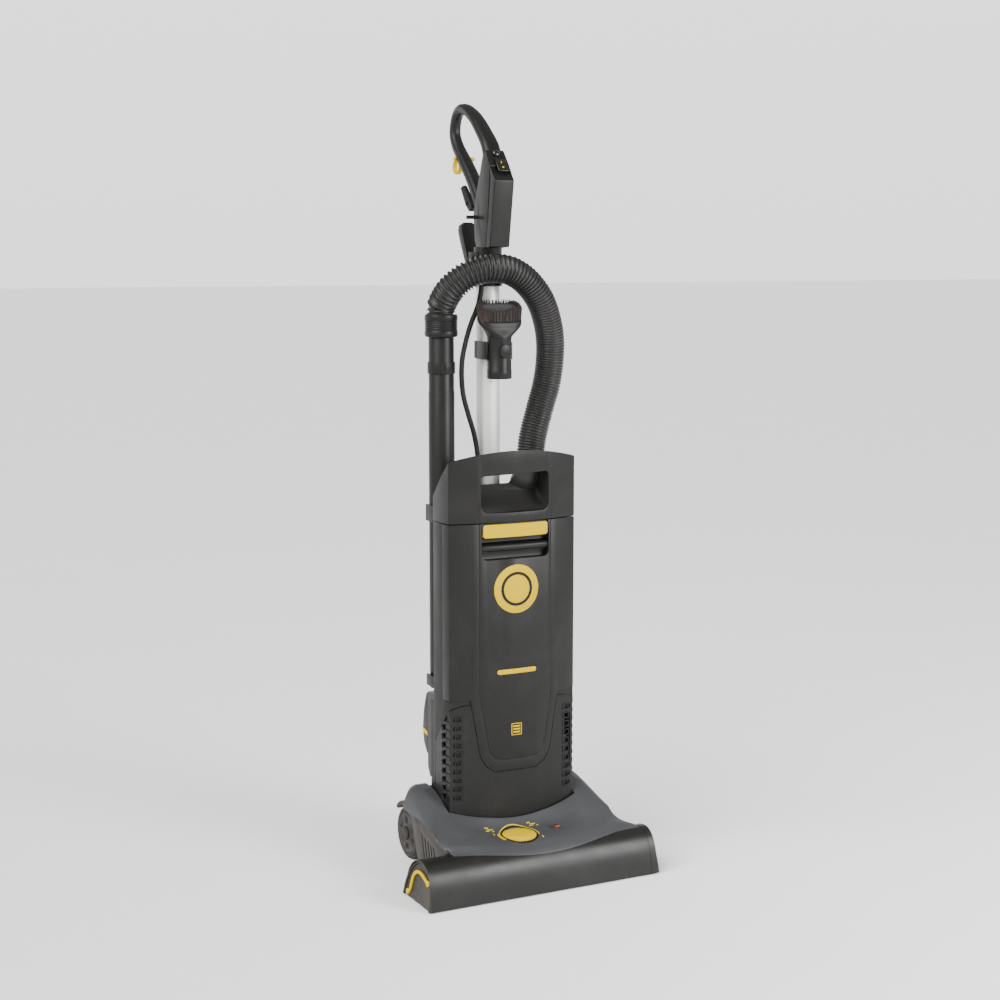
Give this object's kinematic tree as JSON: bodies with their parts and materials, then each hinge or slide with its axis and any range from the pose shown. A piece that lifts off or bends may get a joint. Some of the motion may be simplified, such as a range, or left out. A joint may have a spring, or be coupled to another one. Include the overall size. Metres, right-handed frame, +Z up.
{
  "type": "upright vacuum cleaner",
  "caption": "Commercial upright vacuum: wide rolling brush head, tilting body with bag door, alloy pole with looped grip, stretch hose, wand and dusting brush.",
  "frame": {"origin": "centre of the footprint at floor level", "axes": "+Z up, -Y towards the front of the floor head, +X to the machine's side with the hose port"},
  "size_m": [0.404, 0.3369, 1.217],
  "materials": {
    "charcoal_plastic": "fine moulded texture, satin",
    "slate_plastic": "fine moulded texture, satin, slightly bluish",
    "stone_plastic": "moulded texture, matt brownish grey",
    "black_plastic": "satin black",
    "gloss_black": "glossy black",
    "yellow_plastic": "semi-gloss bright yellow",
    "red_lens": "smoked indicator window",
    "black_rubber": "matt black rubber",
    "grey_rubber": "matt dark grey, non-marking",
    "hose_vinyl": "ribbed black vinyl over a wire helix",
    "black_bristle": "nylon bristle tufts",
    "brown_bristle": "dark brown bristle",
    "steel": "plain steel",
    "aluminium": "satin anodised tube",
    "bag_paper": "two-ply paper",
    "filter_fleece": "white fleece"
  },
  "bodies": {
    "floor_head": {"base_plate": "stone_plastic", "front_hood": "charcoal_plastic", "end_cap_left": "stone_plastic", "end_cap_right": "stone_plastic", "head_cover": "slate_plastic", "shoulder_left": "slate_plastic", "shoulder_right": "slate_plastic", "side_panel_left": "stone_plastic", "side_panel_right": "stone_plastic", "indicator_window": "red_lens", "brush_bearings": "black_plastic", "drive_belt": "black_rubber", "rear_axle": "steel", "intake_duct": "black_plastic"},
    "lever": {"brush_lever": "yellow_plastic"},
    "brush_roller": {"roller_core": "black_plastic", "roller_bristles": "black_bristle"},
    "rear_wheel_left": {"wheel_left": "grey_rubber"},
    "rear_wheel_right": {"wheel_right": "grey_rubber"},
    "carriage": {"roller_carriage": "black_plastic"},
    "front_roller_left": {"caster_left": "grey_rubber"},
    "front_roller_right": {"caster_right": "grey_rubber"},
    "knob": {"height_knob": "yellow_plastic"},
    "pedal": {"foot_pedal": "black_plastic"},
    "upright": {"neck_drum": "charcoal_plastic", "motor_cover": "charcoal_plastic", "main_housing": "charcoal_plastic", "rear_spine": "charcoal_plastic", "top_cover": "charcoal_plastic", "dust_bag": "bag_paper", "bag_collar": "black_plastic", "suction_motor": "steel", "brush_motor": "steel", "exhaust_filter": "filter_fleece", "wand_clips": "black_plastic", "hose_port": "black_plastic", "hose": "hose_vinyl", "brush_clip": "charcoal_plastic", "hose_hook": "black_plastic", "pole": "aluminium", "handle_box": "charcoal_plastic", "handle_front": "charcoal_plastic", "handle_loop": "charcoal_plastic", "grip_bolt": "gloss_black", "cord_inlet": "black_rubber", "cord_clip": "yellow_plastic", "lower_cord_hook": "black_plastic", "motor_cable": "black_rubber"},
    "fan": {"suction_fan": "aluminium"},
    "motor_shaft": {"drive_shaft": "steel"},
    "filter_cover": {"exhaust_cover": "charcoal_plastic"},
    "wand": {"hose_cuff": "black_plastic", "wand_upper": "black_plastic", "wand_lower": "black_plastic"},
    "switch": {"rocker_switch": "gloss_black"},
    "upper_cord_hook": {"cord_hook": "black_plastic"},
    "door": {"bag_door": "charcoal_plastic"},
    "latch": {"door_latch": "yellow_plastic"},
    "brush_tool": {"dusting_brush": "black_plastic", "brush_bristles": "brown_bristle"}
  },
  "joints": [
    {"name": "upright_tilt", "type": "hinge", "parent": "floor_head", "child": "upright", "pos_m": [0, 0.032, 0.098], "axis": [-1, 0, 0], "range_deg": [0, 65]},
    {"name": "release_lever_turn", "type": "hinge", "parent": "floor_head", "child": "lever", "pos_m": [-0.19507, -0.15, 0.04141], "axis": [0.9897, 0, -0.1435], "range_deg": [0, 8]},
    {"name": "brush_roller_spin", "type": "hinge", "parent": "floor_head", "child": "brush_roller", "pos_m": [0, -0.124, 0.031], "axis": [1, 0, 0], "continuous": true},
    {"name": "motor_shaft_spin", "type": "hinge", "parent": "upright", "child": "motor_shaft", "pos_m": [0, 0.032, 0.098], "axis": [1, 0, 0], "continuous": true},
    {"name": "wheel_left_spin", "type": "hinge", "parent": "floor_head", "child": "rear_wheel_left", "pos_m": [-0.117, 0.082, 0.042], "axis": [1, 0, 0], "continuous": true},
    {"name": "wheel_right_spin", "type": "hinge", "parent": "floor_head", "child": "rear_wheel_right", "pos_m": [0.117, 0.082, 0.042], "axis": [1, 0, 0], "continuous": true},
    {"name": "height_slide", "type": "slide", "parent": "floor_head", "child": "carriage", "axis": [0, 0, 1], "range_m": [-0.012, 0]},
    {"name": "height_knob_turn", "type": "hinge", "parent": "floor_head", "child": "knob", "pos_m": [-0.017, -0.104, 0.08], "axis": [0, 0, 1], "range_deg": [0, 270]},
    {"name": "front_roller_left_spin", "type": "hinge", "parent": "carriage", "child": "front_roller_left", "pos_m": [-0.06, -0.052, 0.014], "axis": [1, 0, 0], "continuous": true},
    {"name": "front_roller_right_spin", "type": "hinge", "parent": "carriage", "child": "front_roller_right", "pos_m": [0.06, -0.052, 0.014], "axis": [1, 0, 0], "continuous": true},
    {"name": "pedal_press", "type": "hinge", "parent": "floor_head", "child": "pedal", "pos_m": [-0.045, 0.104, 0.034], "axis": [-1, 0, 0], "range_deg": [0, 14], "stiffness_Nm_per_rad": 1.5},
    {"name": "fan_spin", "type": "hinge", "parent": "upright", "child": "fan", "pos_m": [0, -0.004, 0.17], "axis": [0, 0, 1], "continuous": true},
    {"name": "filter_cover_pull", "type": "slide", "parent": "upright", "child": "filter_cover", "axis": [0, 1, 0], "range_m": [0, 0.04]},
    {"name": "wand_pull", "type": "slide", "parent": "upright", "child": "wand", "axis": [0, 1, 0], "range_m": [0, 0.06], "deforming": ["hose"]},
    {"name": "switch_rock", "type": "hinge", "parent": "upright", "child": "switch", "pos_m": [0.003, -0.001, 1.113], "axis": [1, 0, 0], "range_deg": [-10, 10]},
    {"name": "cord_hook_turn", "type": "hinge", "parent": "upright", "child": "upper_cord_hook", "pos_m": [0, 0.066, 0.956], "axis": [0, 1, 0], "range_deg": [0, 180]},
    {"name": "door_open", "type": "hinge", "parent": "upright", "child": "door", "pos_m": [0, -0.0615, 0.1695], "axis": [1, 0, 0], "range_deg": [0, 60]},
    {"name": "latch_pull", "type": "hinge", "parent": "door", "child": "latch", "pos_m": [0, -0.054, 0.563], "axis": [-1, 0, 0], "range_deg": [0, 12], "stiffness_Nm_per_rad": 0.5},
    {"name": "brush_tool_pull", "type": "slide", "parent": "upright", "child": "brush_tool", "axis": [0, -1, 0], "range_m": [0, 0.1]}
  ],
  "couplings": [
    {"joint": "motor_shaft_spin", "follows": "brush_roller_spin", "ratio": 1},
    {"joint": "height_knob_turn", "follows": "height_slide", "rad_per_m": -390}
  ]
}
